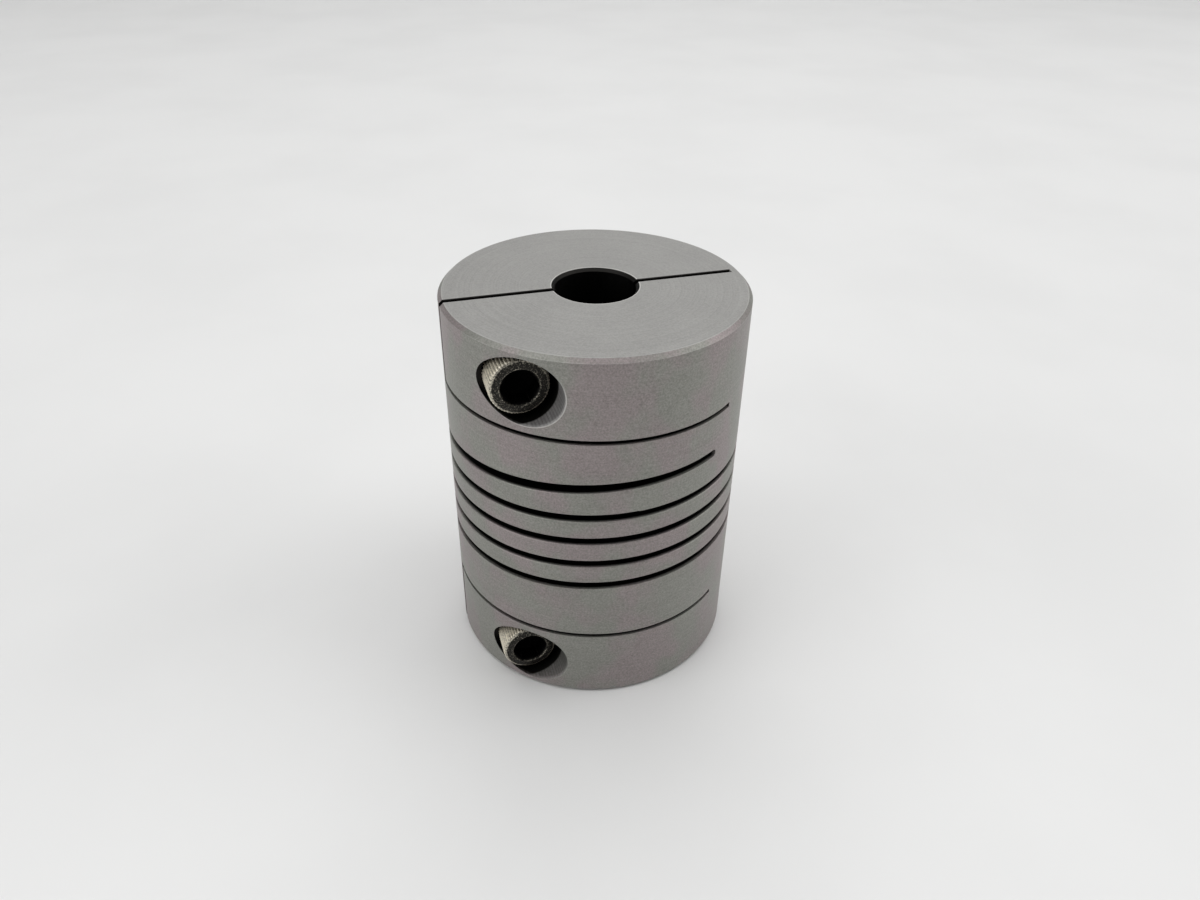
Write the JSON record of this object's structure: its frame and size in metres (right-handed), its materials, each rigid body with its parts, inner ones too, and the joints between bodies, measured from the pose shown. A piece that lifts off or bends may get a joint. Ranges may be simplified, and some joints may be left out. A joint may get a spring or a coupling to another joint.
{
  "type": "beam coupling",
  "caption": "Cylindrical flexible shaft coupling with a helical beam cut through its middle and a slit clamp hub with a socket screw at each end.",
  "frame": {"origin": "centre of the lower end face", "axes": "+Z along the coupling axis towards the upper hub; clamp slits open towards -X; screw heads face -Y"},
  "size_m": [0.019, 0.019, 0.0254],
  "materials": {
    "hubs": "matte grey anodised, fine turning lines",
    "beam": "matte grey anodised, fine turning lines",
    "black_screws": "black oxide, knurled head"
  },
  "bodies": {
    "lower_hub": {"lower_hub": "hubs"},
    "beam_segment_14": {"beam_segment_14": "beam"},
    "beam_segment_13": {"beam_segment_13": "beam"},
    "beam_segment_12": {"beam_segment_12": "beam"},
    "beam_segment_11": {"beam_segment_11": "beam"},
    "beam_segment_10": {"beam_segment_10": "beam"},
    "beam_segment_09": {"beam_segment_09": "beam"},
    "beam_segment_08": {"beam_segment_08": "beam"},
    "beam_segment_07": {"beam_segment_07": "beam"},
    "beam_segment_06": {"beam_segment_06": "beam"},
    "beam_segment_05": {"beam_segment_05": "beam"},
    "beam_segment_04": {"beam_segment_04": "beam"},
    "beam_segment_03": {"beam_segment_03": "beam"},
    "beam_segment_02": {"beam_segment_02": "beam"},
    "beam_segment_01": {"beam_segment_01": "beam"},
    "upper_hub": {"upper_hub": "hubs"},
    "lower_clamp_arm": {"lower_clamp_arm": "hubs"},
    "lower_clamp_screw": {"lower_clamp_screw": "black_screws"},
    "upper_clamp_arm": {"upper_clamp_arm": "hubs"},
    "upper_clamp_screw": {"upper_clamp_screw": "black_screws"}
  },
  "joints": [
    {"name": "axial_stretch", "type": "slide", "parent": "lower_hub", "child": "beam_segment_14", "axis": [0, 0, 1], "range_m": [-0.0000625, 0.0000625], "stiffness_N_per_m": 2000},
    {"name": "lower_bend_x", "type": "hinge", "parent": "beam_segment_14", "child": "beam_segment_13", "pos_m": [0, 0, 0.01005], "axis": [1, 0, 0], "range_deg": [-1.25, 1.25], "stiffness_Nm_per_rad": 0.05},
    {"name": "lower_bend_y", "type": "hinge", "parent": "beam_segment_13", "child": "beam_segment_12", "pos_m": [0, 0, 0.01051], "axis": [0, 1, 0], "range_deg": [-1.25, 1.25], "stiffness_Nm_per_rad": 0.05},
    {"name": "wind_up", "type": "hinge", "parent": "beam_segment_12", "child": "beam_segment_11", "pos_m": [0, 0, 0.01094], "axis": [0, 0, 1], "range_deg": [-0.5, 0.5], "stiffness_Nm_per_rad": 0.05},
    {"name": "axial_stretch_2", "type": "slide", "parent": "beam_segment_11", "child": "beam_segment_10", "axis": [0, 0, 1], "range_m": [-0.0000625, 0.0000625], "stiffness_N_per_m": 2000},
    {"name": "lower_bend_x_2", "type": "hinge", "parent": "beam_segment_10", "child": "beam_segment_09", "pos_m": [0, 0, 0.01182], "axis": [1, 0, 0], "range_deg": [-1.25, 1.25], "stiffness_Nm_per_rad": 0.05},
    {"name": "lower_bend_y_2", "type": "hinge", "parent": "beam_segment_09", "child": "beam_segment_08", "pos_m": [0, 0, 0.01226], "axis": [0, 1, 0], "range_deg": [-1.25, 1.25], "stiffness_Nm_per_rad": 0.05},
    {"name": "wind_up_2", "type": "hinge", "parent": "beam_segment_08", "child": "beam_segment_07", "pos_m": [0, 0, 0.0127], "axis": [0, 0, 1], "range_deg": [-0.5, 0.5], "stiffness_Nm_per_rad": 0.05},
    {"name": "axial_stretch_3", "type": "slide", "parent": "beam_segment_07", "child": "beam_segment_06", "axis": [0, 0, 1], "range_m": [-0.0000625, 0.0000625], "stiffness_N_per_m": 2000},
    {"name": "upper_bend_x", "type": "hinge", "parent": "beam_segment_06", "child": "beam_segment_05", "pos_m": [0, 0, 0.01358], "axis": [1, 0, 0], "range_deg": [-1.25, 1.25], "stiffness_Nm_per_rad": 0.05},
    {"name": "upper_bend_y", "type": "hinge", "parent": "beam_segment_05", "child": "beam_segment_04", "pos_m": [0, 0, 0.01402], "axis": [0, 1, 0], "range_deg": [-1.25, 1.25], "stiffness_Nm_per_rad": 0.05},
    {"name": "wind_up_3", "type": "hinge", "parent": "beam_segment_04", "child": "beam_segment_03", "pos_m": [0, 0, 0.01446], "axis": [0, 0, 1], "range_deg": [-0.5, 0.5], "stiffness_Nm_per_rad": 0.05},
    {"name": "axial_stretch_4", "type": "slide", "parent": "beam_segment_03", "child": "beam_segment_02", "axis": [0, 0, 1], "range_m": [-0.0000625, 0.0000625], "stiffness_N_per_m": 2000},
    {"name": "upper_bend_x_2", "type": "hinge", "parent": "beam_segment_02", "child": "beam_segment_01", "pos_m": [0, 0, 0.01534], "axis": [1, 0, 0], "range_deg": [-1.25, 1.25], "stiffness_Nm_per_rad": 0.05},
    {"name": "upper_bend_y_2", "type": "hinge", "parent": "beam_segment_01", "child": "upper_hub", "pos_m": [0, 0, 0.016], "axis": [0, 1, 0], "range_deg": [-1.25, 1.25], "stiffness_Nm_per_rad": 0.05},
    {"name": "lower_clamp_squeeze", "type": "hinge", "parent": "lower_hub", "child": "lower_clamp_arm", "pos_m": [0.00627, -0.00017, 0.00257], "axis": [0, 0, -1], "range_deg": [0, 1.17], "stiffness_Nm_per_rad": 0.001},
    {"name": "lower_screw_turn", "type": "hinge", "parent": "lower_clamp_arm", "child": "lower_clamp_screw", "pos_m": [-0.00619, -0.004, 0.00257], "axis": [0, 1, 0], "range_deg": [0, 200]},
    {"name": "upper_clamp_squeeze", "type": "hinge", "parent": "upper_hub", "child": "upper_clamp_arm", "pos_m": [0.00627, -0.00017, 0.02283], "axis": [0, 0, -1], "range_deg": [0, 1.17], "stiffness_Nm_per_rad": 0.001},
    {"name": "upper_screw_turn", "type": "hinge", "parent": "upper_clamp_arm", "child": "upper_clamp_screw", "pos_m": [-0.00619, -0.004, 0.02283], "axis": [0, 1, 0], "range_deg": [0, 200]}
  ],
  "couplings": [
    {"joint": "lower_bend_y_2", "follows": "lower_bend_y", "ratio": 1},
    {"joint": "upper_bend_y_2", "follows": "upper_bend_y", "ratio": 1},
    {"joint": "lower_bend_x_2", "follows": "lower_bend_x", "ratio": 1},
    {"joint": "upper_bend_x_2", "follows": "upper_bend_x", "ratio": 1},
    {"joint": "axial_stretch_2", "follows": "axial_stretch", "ratio": 1},
    {"joint": "axial_stretch_3", "follows": "axial_stretch", "ratio": 1},
    {"joint": "axial_stretch_4", "follows": "axial_stretch", "ratio": 1},
    {"joint": "wind_up_2", "follows": "wind_up", "ratio": 1},
    {"joint": "wind_up_3", "follows": "wind_up", "ratio": 1},
    {"joint": "lower_clamp_squeeze", "follows": "lower_screw_turn", "ratio": 0.0057991},
    {"joint": "upper_clamp_squeeze", "follows": "upper_screw_turn", "ratio": 0.0057991}
  ]
}
